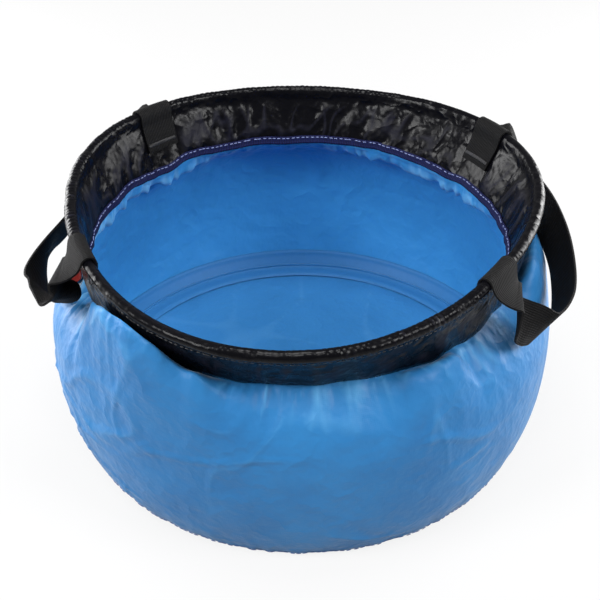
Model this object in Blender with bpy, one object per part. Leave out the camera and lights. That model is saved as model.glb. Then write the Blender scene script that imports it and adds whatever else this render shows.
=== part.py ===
# Collapsible camp wash basin: a coated-nylon bag that bulges as when it is full, a black
# collar folded over a flexible hoop, and two webbing handles that swing from the rim.
# Metres, +Z up, origin at the centre of the base on the ground, -Y is the front.

import math

import bmesh
import bpy
from mathutils import Vector

# Hoop: its centre line is a little oval, softly three-cornered, and not quite level
HOOP_RADIUS = 0.140
HOOP_HEIGHT = 0.152
HOOP_OVAL = 0.0035
HOOP_OVAL_ANGLE = math.radians(74.5)
HOOP_CORNER = 0.0050
HOOP_CORNER_ANGLE = math.radians(22)
HOOP_WARP = 0.0020
HOOP_TUBE_RADIUS = 0.0023
HOOP_BORE_RADIUS = 0.0014
HOOP_JOINT_ANGLE = math.radians(95)
HOOP_JOINT_GAP = 0.0010
SPIGOT_LENGTH = 0.040
SPIGOT_CLEARANCE = 0.0003

# Ring where the collar is sewn to the wall
SEAM_RADIUS = 0.1265
SEAM_HEIGHT = 0.117
SEAM_SHIFT = Vector((-0.0020, -0.0030, 0.0))

# Wall and base
BASE_RADIUS = 0.1405
BULGE_RADIUS = 0.1535
BULGE_HEIGHT = 0.060
FOOT_FULLNESS = 2.5
SHOULDER_FULLNESS = 3.0
FOOT_ROW_CROWDING = 1.5
SHOULDER_ROW_CROWDING = 0.75
WALL_THICKNESS = 0.0010
WALL_FOOT = 0.0005
WALL_TUCK = 0.0080
BASE_THICKNESS = 0.0012
BASE_TURN_UP = 0.0042
BASE_CORNER = 0.0022

# Collar
COLLAR_LAYER = 0.0007
COLLAR_HEM_GAP = 0.0008
HEM_TAPE_HEIGHT = 0.0052
HEM_TAPE_THICKNESS = 0.0007
HEM_STITCH_DROP = 0.0010

# Tapes and threads
SEAM_TAPE_THICKNESS = 0.0005
SEAM_TAPE_ON_BASE = 0.0120
SEAM_TAPE_HEIGHT = 0.0130
WALL_TAPE_WIDTH = 0.0160
WALL_TAPE_ANGLE = math.radians(-75)
WALL_TAPE_BOTTOM = 0.0200
WALL_TAPE_TOP = 0.1020
WALL_TAPE_ROW_CLEARANCE = 0.0020
THREAD_RADIUS = 0.00030
CASING_STITCH_DROP = 0.0050
BASE_STITCH_HEIGHT = 0.0026

# Webbing: where each handle is anchored round the rim, and how its ends are sewn
STRAP_WIDTH = 0.0250
STRAP_THICKNESS = 0.0014
ANCHOR_ANGLES = {
    "right": (math.radians(-39), math.radians(31.5)),
    "left": (math.radians(-152), math.radians(134)),
}
PATCH_LENGTH = 0.0240
TAIL_REACH = 0.0155
TAIL_DROP = 0.0070
TAIL_LEAVE_ANGLE = math.radians(30)
TAIL_END_ANGLE = math.radians(-10)
TAIL_BEND = 0.35
HINGE_NOSE_RADIUS = 0.0003
HINGE_NOSE_TURNS = (math.radians(35), math.radians(65))
BARTACK_LENGTH = 0.0220
BARTACK_HEIGHT = 0.0022
BARTACK_THICKNESS = 0.0008
BARTACK_INSET = 0.0030

# Each handle hangs outward at this angle. Its course is given by stations from front to back:
# share of the line between the anchors, reach from that line, drop and roll of the webbing.
# The left handle holds a half twist
HANDLE_HANG = math.radians(40)
HANDLE_STATIONS = {
    "right": (
        (0.000, 0.000, 0.000, 90),
        (0.003, 0.004, 0.006, 84),
        (0.010, 0.008, 0.010, 72),
        (0.025, 0.014, 0.013, 52),
        (0.050, 0.023, 0.013, 30),
        (0.100, 0.034, 0.013, 6),
        (0.230, 0.042, 0.006, 15),
        (0.420, 0.037, 0.000, 20),
        (0.600, 0.028, 0.000, 20),
        (0.860, 0.023, 0.008, 40),
        (1.000, 0.000, 0.000, 90),
    ),
    "left": (
        (0.000, 0.000, 0.000, 90),
        (0.000, 0.004, 0.006, 82),
        (-0.005, 0.008, 0.011, 68),
        (0.005, 0.013, 0.014, 50),
        (0.030, 0.019, 0.013, 30),
        (0.070, 0.026, 0.010, 10),
        (0.130, 0.033, 0.006, -14),
        (0.340, 0.036, 0.003, -60),
        (0.500, 0.034, 0.006, -60),
        (0.680, 0.033, 0.005, -70),
        (0.870, 0.022, 0.005, -90),
        (1.000, 0.000, 0.000, -90),
    ),
}

# Label: a small folded tab sewn in at the seam, which stands off the wall's shoulder. Its
# stations are drop below the seam and distance out from the wall
LABEL_ANGLE = math.radians(-168)
LABEL_WIDTH = 0.0120
LABEL_THICKNESS = 0.0008
LABEL_TUCK = 0.0070
LABEL_MOUTH = 0.0028
LABEL_STATIONS = ((0.0010, 0.0040), (0.0040, 0.0080), (0.0085, 0.0095))

# Clearance between sewn layers, and the sharpest mitre where a strip bends
GAP = 0.0003
MITRE_LIMIT = 0.5

# How finely the round shapes are cut, and small steps that find a surface's direction
RING_STEPS = 72
SHOULDER_STEPS = 9
FOOT_STEPS = 6
BULB_STEPS = 10
STRAP_STEPS = 3
STRAP_COLUMNS = 5
TUBE_SIDES = 10
HEIGHT_PROBE = 0.0005
ANGLE_PROBE = 0.01
MERGE_DISTANCE = 0.00001
SHARP_ANGLE = math.radians(40)

UP = Vector((0.0, 0.0, 1.0))
FULL_TURN = 2.0 * math.pi


def clear_scene():
    for item in list(bpy.data.objects):
        bpy.data.objects.remove(item, do_unlink=True)


# Materials

def make_material(name, colour, roughness, metallic=0.0):
    material = bpy.data.materials.new(name)
    material.use_nodes = True
    shader = material.node_tree.nodes["Principled BSDF"]
    shader.inputs["Base Color"].default_value = (*colour, 1.0)
    shader.inputs["Roughness"].default_value = roughness
    shader.inputs["Metallic"].default_value = metallic
    material.diffuse_color = (*colour, 1.0)
    return material


# Directions and ring lines

def radial(angle):
    return Vector((math.cos(angle), math.sin(angle), 0.0))


def around(angle):
    return Vector((-math.sin(angle), math.cos(angle), 0.0))


def hoop_point(angle):
    oval = HOOP_OVAL * math.cos(2 * (angle - HOOP_OVAL_ANGLE))
    corner = HOOP_CORNER * math.cos(3 * (angle - HOOP_CORNER_ANGLE))
    height = HOOP_HEIGHT + HOOP_WARP * math.cos(2 * angle)
    return (HOOP_RADIUS + oval + corner) * radial(angle) + height * UP


def seam_point(angle):
    return SEAM_SHIFT + SEAM_RADIUS * radial(angle) + SEAM_HEIGHT * UP


def collar_frame(angle):
    """Hoop centre, unit vector down the collar, unit vector out of it, and its height."""
    top = hoop_point(angle)
    down = seam_point(angle) - top
    height = down.length
    down.normalize()
    out = around(angle).cross(-down).normalized()
    return top, down, out, height


def collar_point(angle, drop, out_by):
    top, down, out, _ = collar_frame(angle)
    return top + drop * down + out_by * out


def wall_radius(height):
    if height <= BULGE_HEIGHT:
        short = (1.0 - height / BULGE_HEIGHT) ** FOOT_FULLNESS
        return BASE_RADIUS + (BULGE_RADIUS - BASE_RADIUS) * (1.0 - short)
    rise = (height - BULGE_HEIGHT) / (SEAM_HEIGHT - BULGE_HEIGHT)
    return SEAM_RADIUS + (BULGE_RADIUS - SEAM_RADIUS) * (1.0 - rise ** SHOULDER_FULLNESS)


def wall_point(angle, height):
    rise = max(0.0, (height - BULGE_HEIGHT) / (SEAM_HEIGHT - BULGE_HEIGHT))
    lean = rise * rise * (3.0 - 2.0 * rise)
    return lean * SEAM_SHIFT + wall_radius(height) * radial(angle) + height * UP


def wall_inside(angle, height, depth):
    """A point that lies depth inside the wall's middle surface."""
    run = (wall_point(angle, height + HEIGHT_PROBE)
           - wall_point(angle, max(0.0, height - HEIGHT_PROBE)))
    out = around(angle).cross(run).normalized()
    return wall_point(angle, height) - depth * out


def wall_heights():
    heights = [WALL_FOOT]
    for i in range(1, FOOT_STEPS + 1):
        heights.append(BULGE_HEIGHT * (i / FOOT_STEPS) ** FOOT_ROW_CROWDING)
    for i in range(1, SHOULDER_STEPS):
        rise = (i / SHOULDER_STEPS) ** SHOULDER_ROW_CROWDING
        heights.append(BULGE_HEIGHT + (SEAM_HEIGHT - BULGE_HEIGHT) * rise)
    return heights


# Solids from rows of points

def finish_object(name, bm, material, origin=Vector(), parent=None):
    bmesh.ops.recalc_face_normals(bm, faces=bm.faces)
    bmesh.ops.translate(bm, verts=bm.verts, vec=-origin)
    mesh = bpy.data.meshes.new(name)
    bm.to_mesh(mesh)
    bm.free()
    mesh.shade_smooth()
    mesh.set_sharp_from_angle(angle=SHARP_ANGLE)
    mesh.materials.append(material)
    piece = bpy.data.objects.new(name, mesh)
    bpy.context.collection.objects.link(piece)
    place(piece, origin, parent)
    return piece


def place(piece, origin, parent):
    piece.location = origin
    if parent is not None:
        piece.parent = parent
        piece.location = origin - parent.location


def skin_rows(bm, sections, ring):
    """Joins sections by triangles whose diagonals run the same way on both sides of a sheet."""
    rows = [[bm.verts.new(point) for point in section] for section in sections]
    for i in range(len(rows) if ring else len(rows) - 1):
        here = rows[i]
        after = rows[(i + 1) % len(rows)]
        for j in range(len(here)):
            k = (j + 1) % len(here)
            rising = here[k].co.z > here[j].co.z if ring else 2 * j < len(here)
            if rising:
                bm.faces.new((here[j], here[k], after[k]))
                bm.faces.new((here[j], after[k], after[j]))
            else:
                bm.faces.new((here[j], here[k], after[j]))
                bm.faces.new((here[k], after[k], after[j]))
    if not ring:
        bm.faces.new(rows[0])
        bm.faces.new(rows[-1])


def ring_solid(name, outline_at, material, origin=Vector(), parent=None):
    """A closed ring whose cross-section at each plan angle is outline_at(angle)."""
    bm = bmesh.new()
    sections = [outline_at(FULL_TURN * i / RING_STEPS) for i in range(RING_STEPS)]
    skin_rows(bm, sections, True)
    return finish_object(name, bm, material, origin, parent)


def thick_outline(path, angle, thickness):
    """The closed outline of a strip of fabric whose middle line in section is path."""
    outer = []
    inner = []
    for i, point in enumerate(path):
        before = (point - path[max(i - 1, 0)]).normalized()
        after = (path[min(i + 1, len(path) - 1)] - point).normalized()
        run = (before + after).normalized()
        side = around(angle).cross(run).normalized()
        straight = max(run.dot(after if i == 0 else before), MITRE_LIMIT)
        outer.append(point + side * (0.5 * thickness / straight))
        inner.append(point - side * (0.5 * thickness / straight))
    return outer + inner[::-1]


def grid_normal(grid, i, j):
    last_row = len(grid) - 1
    last_column = len(grid[0]) - 1
    along = grid[min(i + 1, last_row)][j] - grid[max(i - 1, 0)][j]
    across = grid[i][min(j + 1, last_column)] - grid[i][max(j - 1, 0)]
    return along.cross(across).normalized()


def sheet_solid(name, grid, thicknesses, material, origin=Vector(), parent=None):
    """A closed solid round a grid of points, with its own thickness at each row."""
    bm = bmesh.new()
    sections = []
    for i, row in enumerate(grid):
        half = 0.5 * thicknesses[i]
        normals = [grid_normal(grid, i, j) for j in range(len(row))]
        front = [point + half * normal for point, normal in zip(row, normals)]
        back = [point - half * normal for point, normal in zip(row, normals)]
        sections.append(front + back[::-1])
    skin_rows(bm, sections, False)
    return finish_object(name, bm, material, origin, parent)


def thread_ring(name, point_at, material, parent=None):
    """A row of stitching as a closed line of thread."""
    curve = bpy.data.curves.new(name, "CURVE")
    curve.dimensions = "3D"
    curve.bevel_depth = THREAD_RADIUS
    curve.bevel_resolution = 0
    line = curve.splines.new("POLY")
    line.points.add(RING_STEPS - 1)
    for i in range(RING_STEPS):
        point = point_at(FULL_TURN * i / RING_STEPS)
        if parent is not None:
            point = point - parent.location
        line.points[i].co = (*point, 1.0)
    line.use_cyclic_u = True
    curve.materials.append(material)
    piece = bpy.data.objects.new(name, curve)
    bpy.context.collection.objects.link(piece)
    piece.parent = parent
    return piece


def arc_tube(name, start, end, radius, material, parent):
    """A round tube or rod along the hoop's centre line, with closed ends."""
    steps = max(4, round(RING_STEPS * (end - start) / FULL_TURN))
    sections = []
    for i in range(steps + 1):
        angle = start + (end - start) * i / steps
        run = (hoop_point(angle + ANGLE_PROBE) - hoop_point(angle - ANGLE_PROBE)).normalized()
        side = run.cross(UP).normalized()
        top = side.cross(run)
        sections.append([hoop_point(angle)
                         + radius * (math.cos(turn) * side + math.sin(turn) * top)
                         for turn in (FULL_TURN * j / TUBE_SIDES for j in range(TUBE_SIDES))])
    bm = bmesh.new()
    skin_rows(bm, sections, False)
    return finish_object(name, bm, material, parent.location.copy(), parent)


def smooth_row(points, steps):
    """Points read from a smooth curve through the given ones."""
    ends = [2 * points[0] - points[1]] + list(points) + [2 * points[-1] - points[-2]]
    row = []
    for i in range(1, len(ends) - 2):
        a, b, c, d = ends[i - 1], ends[i], ends[i + 1], ends[i + 2]
        for step in range(steps):
            t = step / steps
            row.append(0.5 * (2 * b + (c - a) * t + (2 * a - 5 * b + 4 * c - d) * t ** 2
                              + (3 * b - a - 3 * c + d) * t ** 3))
    row.append(points[-1])
    return row


# Wall and base

def wall_outline(angle):
    path = [wall_point(angle, height) for height in wall_heights()]
    _, _, _, height = collar_frame(angle)
    path.append(seam_point(angle))
    path.append(collar_point(angle, height - 0.5 * WALL_TUCK, 0.0))
    path.append(collar_point(angle, height - WALL_TUCK, 0.0))
    return thick_outline(path, angle, WALL_THICKNESS)


def base_edge_inset():
    return 0.5 * WALL_THICKNESS + GAP + 0.5 * BASE_THICKNESS


def base_edge_path(angle):
    """Middle line of the base's turned-up edge."""
    inset = base_edge_inset()
    middle = 0.5 * BASE_THICKNESS
    corner_radius = wall_radius(BASE_CORNER) - inset - BASE_CORNER + middle
    return [
        corner_radius * radial(angle) + middle * UP,
        wall_inside(angle, BASE_CORNER, inset),
        wall_inside(angle, BASE_TURN_UP, inset),
    ]


def make_base_panel(material):
    path = base_edge_path(0.0)
    ring = thick_outline(path, 0.0, BASE_THICKNESS)
    count = len(path)
    outer = ring[:count]
    inner = ring[count:]
    outer[0].z = 0.0
    inner[-1].z = BASE_THICKNESS
    bm = bmesh.new()
    profile = [bm.verts.new(point) for point in [Vector((0.0, 0.0, BASE_THICKNESS))]
               + inner[::-1] + outer[::-1]]
    edges = [bm.edges.new(pair) for pair in zip(profile, profile[1:])]
    bmesh.ops.spin(bm, geom=profile + edges, axis=UP, cent=Vector(), steps=RING_STEPS,
                   angle=FULL_TURN, use_merge=True)
    bmesh.ops.remove_doubles(bm, verts=bm.verts, dist=MERGE_DISTANCE)
    rim = [edge for edge in bm.edges if edge.is_boundary]
    bmesh.ops.contextual_create(bm, geom=rim)
    return finish_object("base_panel", bm, material)


def base_tape_outline(angle):
    on_base = BASE_THICKNESS + GAP + 0.5 * SEAM_TAPE_THICKNESS
    inside_edge = base_edge_inset() + 0.5 * BASE_THICKNESS + GAP + 0.5 * SEAM_TAPE_THICKNESS
    inside_wall = 0.5 * WALL_THICKNESS + GAP + 0.5 * SEAM_TAPE_THICKNESS
    corner = base_edge_path(angle)[0].xy.length - GAP - SEAM_TAPE_THICKNESS
    path = [
        (corner - SEAM_TAPE_ON_BASE) * radial(angle) + on_base * UP,
        corner * radial(angle) + on_base * UP,
        wall_inside(angle, BASE_CORNER + GAP, inside_edge),
        wall_inside(angle, BASE_TURN_UP + 2.0 * GAP, inside_edge),
        wall_inside(angle, BASE_TURN_UP + BASE_THICKNESS + 4.0 * GAP, inside_wall),
        wall_inside(angle, SEAM_TAPE_HEIGHT, inside_wall),
    ]
    return thick_outline(path, angle, SEAM_TAPE_THICKNESS)


def make_wall_seam_tape(material):
    depth = 0.5 * WALL_THICKNESS + GAP + 0.5 * SEAM_TAPE_THICKNESS
    half_angle = 0.5 * WALL_TAPE_WIDTH / BULGE_RADIUS
    step = FULL_TURN / RING_STEPS
    angles = [WALL_TAPE_ANGLE - half_angle, step * round(WALL_TAPE_ANGLE / step),
              WALL_TAPE_ANGLE + half_angle]
    lowest = WALL_TAPE_BOTTOM + WALL_TAPE_ROW_CLEARANCE
    highest = WALL_TAPE_TOP - WALL_TAPE_ROW_CLEARANCE
    between = [height for height in wall_heights() if lowest < height < highest]
    heights = [WALL_TAPE_BOTTOM] + between + [WALL_TAPE_TOP]
    grid = [[wall_inside(angle, height, depth) for angle in angles] for height in heights]
    thicknesses = [SEAM_TAPE_THICKNESS] * len(grid)
    return sheet_solid("wall_seam_tape", grid, thicknesses, material)


def base_stitch_point(angle):
    return wall_inside(angle, BASE_STITCH_HEIGHT, -(0.5 * WALL_THICKNESS + GAP + THREAD_RADIUS))


# Collar, its binding and its stitching

def collar_half():
    return 0.5 * WALL_THICKNESS + GAP + COLLAR_LAYER


def casing_radius():
    return HOOP_TUBE_RADIUS + GAP + COLLAR_LAYER


def collar_outline(angle):
    _, _, _, height = collar_frame(angle)
    half = collar_half()
    inner_half = half - COLLAR_LAYER
    bulb = casing_radius()
    hollow = bulb - COLLAR_LAYER
    bottom = height - COLLAR_HEM_GAP
    outline = [(bottom, half)]
    outline += bulb_arc(bulb, half)
    outline += [(bottom, -half), (bottom, -inner_half)]
    outline += bulb_arc(hollow, inner_half)[::-1]
    outline += [(bottom, inner_half)]
    return [collar_point(angle, drop, out_by) for drop, out_by in outline]


def bulb_arc(radius, half):
    """The casing's round top, from its outer side over to its inner side."""
    open_angle = math.asin(half / radius)
    sweep = FULL_TURN - 2.0 * open_angle
    arc = []
    for i in range(BULB_STEPS + 1):
        turn = open_angle + sweep * i / BULB_STEPS
        arc.append((radius * math.cos(turn), radius * math.sin(turn)))
    return arc


def hem_tape_out():
    return collar_half() + GAP + 0.5 * HEM_TAPE_THICKNESS


def hem_tape_outline(angle):
    _, _, _, height = collar_frame(angle)
    bottom = height - COLLAR_HEM_GAP
    path = [collar_point(angle, bottom, -hem_tape_out()),
            collar_point(angle, bottom - HEM_TAPE_HEIGHT, -hem_tape_out())]
    return thick_outline(path, angle, HEM_TAPE_THICKNESS)


def hem_stitch_point(angle):
    _, _, _, height = collar_frame(angle)
    drop = height - COLLAR_HEM_GAP - HEM_TAPE_HEIGHT + HEM_STITCH_DROP
    out_by = hem_tape_out() + 0.5 * HEM_TAPE_THICKNESS + GAP + THREAD_RADIUS
    return collar_point(angle, drop, -out_by)


def casing_stitch_point(angle):
    return collar_point(angle, CASING_STITCH_DROP, collar_half() + GAP + THREAD_RADIUS)


# Hoop: a tube whose ends meet on a spigot

def make_hoop(hoop_material, spigot_material, parent):
    half_gap = 0.5 * HOOP_JOINT_GAP / HOOP_RADIUS
    half_spigot = 0.5 * SPIGOT_LENGTH / HOOP_RADIUS
    half_socket = half_spigot + SPIGOT_CLEARANCE / HOOP_RADIUS
    hoop = arc_tube("rim_hoop", HOOP_JOINT_ANGLE + half_gap,
                    HOOP_JOINT_ANGLE + FULL_TURN - half_gap,
                    HOOP_TUBE_RADIUS, hoop_material, parent)
    cutter = arc_tube("hoop_socket_cutter", HOOP_JOINT_ANGLE - half_socket,
                      HOOP_JOINT_ANGLE + half_socket, HOOP_BORE_RADIUS, hoop_material, parent)
    cutter.hide_render = True
    cutter.display_type = "WIRE"
    cut = hoop.modifiers.new("Sockets", "BOOLEAN")
    cut.operation = "DIFFERENCE"
    cut.solver = "EXACT"
    cut.object = cutter
    arc_tube("hoop_spigot", HOOP_JOINT_ANGLE - half_spigot, HOOP_JOINT_ANGLE + half_spigot,
             HOOP_BORE_RADIUS - SPIGOT_CLEARANCE, spigot_material, parent)


# Webbing

def chord_of(side):
    """Where a handle hinges: its front and back point, and the directions of its frame."""
    hinges = []
    for angle in ANCHOR_ANGLES[side]:
        hinges.append(hoop_point(angle) + TAIL_REACH * radial(angle) - TAIL_DROP * UP)
    front, back = hinges
    level = Vector((back.x - front.x, back.y - front.y, 0.0)).normalized()
    outward = Vector((level.y, -level.x, 0.0))
    if outward.dot(front + back) < 0.0:
        outward.negate()
    along = (back - front).normalized()
    hang = math.cos(HANDLE_HANG) * outward - math.sin(HANDLE_HANG) * UP
    hang = (hang - along * hang.dot(along)).normalized()
    face = hang.cross(along)
    if face.z < 0.0:
        face.negate()
    return front, back, along, hang, face, outward


def strap_across(column):
    return STRAP_WIDTH * (column / (STRAP_COLUMNS - 1) - 0.5)


def make_anchor(side, end, name, material, parent):
    angle = ANCHOR_ANGLES[side][end]
    front, back, along, _, _, outward = chord_of(side)
    hinge = (front, back)[end]
    sign = 1.0 if around(angle).dot(along) > 0.0 else -1.0
    tail_end = math.cos(TAIL_END_ANGLE) * outward + math.sin(TAIL_END_ANGLE) * UP
    tail_end = (tail_end - along * tail_end.dot(along)).normalized()
    patch_out = -(collar_half() + GAP + 0.5 * STRAP_THICKNESS)
    wrap_radius = casing_radius() + GAP + 0.5 * STRAP_THICKNESS
    join_turn = math.pi + math.acos(-patch_out / wrap_radius)
    columns = []
    for column in range(STRAP_COLUMNS):
        across = strap_across(column)
        here = angle + across / hoop_point(angle).xy.length
        top, down, out, _ = collar_frame(here)
        line = [collar_point(here, PATCH_LENGTH, patch_out),
                collar_point(here, 0.5 * PATCH_LENGTH, patch_out)]
        for i in range(BULB_STEPS + 1):
            turn = join_turn + (TAIL_LEAVE_ANGLE - join_turn) * i / BULB_STEPS
            line.append(top + wrap_radius * (math.cos(turn) * out - math.sin(turn) * down))
        leave = math.sin(TAIL_LEAVE_ANGLE) * out + math.cos(TAIL_LEAVE_ANGLE) * down
        start = line[-1]
        stop = hinge + sign * across * along - (HINGE_NOSE_RADIUS + GAP) * tail_end
        pull = TAIL_BEND * (stop - start).length
        for i in range(1, STRAP_STEPS + 1):
            t = i / STRAP_STEPS
            bend = (start + leave * pull, stop - tail_end * pull)
            line.append((1 - t) ** 3 * start + 3 * (1 - t) ** 2 * t * bend[0]
                        + 3 * (1 - t) * t ** 2 * bend[1] + t ** 3 * stop)
        columns.append(line)
    grid = [list(row) for row in zip(*columns)]
    thicknesses = [STRAP_THICKNESS] * (len(grid) - 1) + [2.0 * HINGE_NOSE_RADIUS]
    return sheet_solid(name, grid, thicknesses, material, parent=parent)


def make_bartack(side, end, name, material, parent):
    angle = ANCHOR_ANGLES[side][end]
    out_by = -(collar_half() + GAP + STRAP_THICKNESS + GAP + 0.5 * BARTACK_THICKNESS)
    low = PATCH_LENGTH - BARTACK_INSET
    grid = []
    for drop in (low, low - BARTACK_HEIGHT):
        row = []
        for column in range(STRAP_COLUMNS):
            across = BARTACK_LENGTH * (column / (STRAP_COLUMNS - 1) - 0.5)
            row.append(collar_point(angle + across / hoop_point(angle).xy.length, drop, out_by))
        grid.append(row)
    thicknesses = [BARTACK_THICKNESS] * len(grid)
    return sheet_solid(name, grid, thicknesses, material, parent=parent)


def make_handle(side, material):
    front, back, along, hang, face, _ = chord_of(side)
    pivot = bpy.data.objects.new("handle_" + side + "_hinge", None)
    pivot.location = front
    bpy.context.collection.objects.link(pivot)
    span = (back - front).length
    course = [Vector((share * span, reach, drop, roll))
              for share, reach, drop, roll in HANDLE_STATIONS[side]]
    stations = smooth_row(course, STRAP_STEPS)
    line = [front + p.x * along + p.y * hang - p.z * face for p in stations]
    turns = [-math.radians(p.w) for p in stations]
    grid = []
    for i, point in enumerate(line):
        run = (line[min(i + 1, len(line) - 1)] - line[max(i - 1, 0)]).normalized()
        upright = (face - run * face.dot(run)).normalized()
        level = run.cross(upright)
        width = math.cos(turns[i]) * upright + math.sin(turns[i]) * level
        if i in (0, len(line) - 1):
            width = along if width.dot(along) > 0.0 else -along
        grid.append([point + strap_across(column) * width for column in range(STRAP_COLUMNS)])
    thicknesses = [STRAP_THICKNESS] * len(grid)
    thicknesses[0] = thicknesses[-1] = 2.0 * HINGE_NOSE_RADIUS
    first, front_run = grid[0], (line[1] - line[0]).normalized()
    last, back_run = grid[-1], (line[-2] - line[-1]).normalized()
    for turn in HINGE_NOSE_TURNS:
        past = HINGE_NOSE_RADIUS * math.sin(turn)
        thin = 2.0 * HINGE_NOSE_RADIUS * math.cos(turn)
        grid = [[point - past * front_run for point in first]] + grid
        grid.append([point - past * back_run for point in last])
        thicknesses = [thin] + thicknesses + [thin]
    return sheet_solid("handle_" + side, grid, thicknesses, material, front, pivot)


def make_label(material, parent):
    _, _, _, height = collar_frame(LABEL_ANGLE)
    out_by = collar_half() + GAP + 0.5 * LABEL_THICKNESS
    columns = []
    for side in (-0.5, 0.0, 0.5):
        angle = LABEL_ANGLE + side * LABEL_WIDTH / SEAM_RADIUS
        points = [
            collar_point(angle, height - LABEL_TUCK, out_by),
            collar_point(angle, height - LABEL_MOUTH, out_by + GAP),
        ]
        for drop, out_from_wall in LABEL_STATIONS:
            points.append(wall_point(angle, SEAM_HEIGHT - drop) + out_from_wall * radial(angle))
        columns.append(smooth_row(points, STRAP_STEPS - 1))
    grid = [list(row) for row in zip(*columns)]
    thicknesses = [LABEL_THICKNESS] * len(grid)
    return sheet_solid("side_label", grid, thicknesses, material, parent=parent)


def main():
    clear_scene()
    blue_nylon = make_material("blue coated nylon", (0.055, 0.25, 0.62), 0.45)
    blue_base = make_material("blue coated nylon base", (0.05, 0.22, 0.56), 0.5)
    black_coated = make_material("black glossy coated polyester", (0.012, 0.012, 0.015), 0.22)
    navy_binding = make_material("navy binding tape", (0.015, 0.018, 0.06), 0.55)
    black_webbing = make_material("black polypropylene webbing", (0.013, 0.013, 0.015), 0.7)
    clear_tape = make_material("seam sealing tape", (0.10, 0.30, 0.62), 0.3)
    pale_thread = make_material("pale polyester thread", (0.55, 0.58, 0.68), 0.6)
    black_thread = make_material("black polyester thread", (0.02, 0.02, 0.022), 0.6)
    blue_thread = make_material("blue polyester thread", (0.02, 0.08, 0.24), 0.6)
    hoop_plastic = make_material("black acetal hoop", (0.02, 0.02, 0.02), 0.4)
    spigot_steel = make_material("spring steel spigot", (0.55, 0.56, 0.58), 0.3, 1.0)
    red_label = make_material("red woven label", (0.5, 0.03, 0.02), 0.6)

    rim = bpy.data.objects.new("rim_slide", None)
    rim.location = HOOP_HEIGHT * UP
    bpy.context.collection.objects.link(rim)
    rim_at = rim.location

    make_base_panel(blue_base)
    ring_solid("side_wall", wall_outline, blue_nylon)
    ring_solid("base_seam_tape", base_tape_outline, clear_tape)
    make_wall_seam_tape(clear_tape)
    thread_ring("base_stitching", base_stitch_point, blue_thread)

    ring_solid("collar", collar_outline, black_coated, rim_at, rim)
    ring_solid("collar_hem_tape", hem_tape_outline, navy_binding, rim_at, rim)
    thread_ring("hem_stitching", hem_stitch_point, pale_thread, rim)
    thread_ring("casing_stitching", casing_stitch_point, black_thread, rim)
    make_hoop(hoop_plastic, spigot_steel, rim)
    make_label(red_label, rim)

    for side in ANCHOR_ANGLES:
        for end, place_name in enumerate(("front", "back")):
            where = place_name + "_" + side
            make_anchor(side, end, "strap_anchor_" + where, black_webbing, rim)
            make_bartack(side, end, "anchor_bartack_" + where, black_thread, rim)
        make_handle(side, black_webbing)


main()
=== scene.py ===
import math
from functools import lru_cache

import bmesh
import bpy
from mathutils import Matrix, Vector, noise


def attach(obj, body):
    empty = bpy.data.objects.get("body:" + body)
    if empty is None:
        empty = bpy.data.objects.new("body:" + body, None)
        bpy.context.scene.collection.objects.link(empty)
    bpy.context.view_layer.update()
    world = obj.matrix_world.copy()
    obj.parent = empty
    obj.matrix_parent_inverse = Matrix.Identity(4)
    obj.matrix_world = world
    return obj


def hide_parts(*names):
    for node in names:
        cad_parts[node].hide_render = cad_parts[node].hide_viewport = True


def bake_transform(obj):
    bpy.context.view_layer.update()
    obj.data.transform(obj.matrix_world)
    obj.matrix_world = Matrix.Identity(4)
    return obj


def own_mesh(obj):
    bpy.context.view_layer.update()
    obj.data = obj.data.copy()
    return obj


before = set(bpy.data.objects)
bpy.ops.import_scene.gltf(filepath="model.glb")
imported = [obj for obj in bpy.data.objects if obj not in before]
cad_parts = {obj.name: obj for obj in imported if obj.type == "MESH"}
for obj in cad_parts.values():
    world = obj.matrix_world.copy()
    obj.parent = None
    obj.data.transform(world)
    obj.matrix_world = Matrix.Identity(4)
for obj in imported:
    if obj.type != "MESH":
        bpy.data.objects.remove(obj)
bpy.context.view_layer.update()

# Collapsible wash basin: a coated nylon bag held in its bulged shape, a glossy black collar
# folded over a hoop, webbing handles. Metres, +Z up, -Y is the front.

up = Vector((0.0, 0.0, 1.0))
fullTurn = 2.0 * math.pi
meanRadius = 0.145     # turns an angle round the ring into a length of cloth


# ring lines, the same ones that the solids follow

ringLines = {
    "hoopRadius": 0.140, "hoopHeight": 0.152, "oval": 0.0035, "ovalAngle": math.radians(74.5),
    "corner": 0.0050, "cornerAngle": math.radians(22), "warp": 0.0020,
    "seamRadius": 0.1265, "seamHeight": 0.117, "seamShift": Vector((-0.0020, -0.0030, 0.0)),
    "baseRadius": 0.1405, "bulgeRadius": 0.1535, "bulgeHeight": 0.060,
    "footFullness": 2.5, "shoulderFullness": 3.0,
    "waveOut": 0.0012, "waveUp": 0.0016,
    "waveAround": [(0, 0.8), (45, 1.0), (90, 0.4), (150, 1.3), (200, 0.8), (270, 0.6), (320, 0.8)],
    "strapAngles": [math.radians(degrees) for degrees in (-39, 31.5, -152, 134)],
}


def radial(angle):
    return Vector((math.cos(angle), math.sin(angle), 0.0))


def around(angle):
    return Vector((-math.sin(angle), math.cos(angle), 0.0))


def blendStep(value, low, high):
    t = min(1.0, max(0.0, (value - low) / (high - low)))
    return t * t * (3.0 - 2.0 * t)


def near(distance, reach):
    # 1 at no distance, fading out smoothly beyond the reach
    return math.exp(-(distance / reach) ** 2)


def ringNoise(angle, height, acrossSize, upSize, seed):
    # smooth noise that closes round the ring
    reach = meanRadius / acrossSize
    return noise.noise(Vector((reach * math.cos(angle) + 7.3 * seed,
                               reach * math.sin(angle) - 3.1 * seed, height / upSize + seed)))


def crest(value, sharpness):
    return 1.0 - min(1.0, abs(value) * sharpness)


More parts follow.
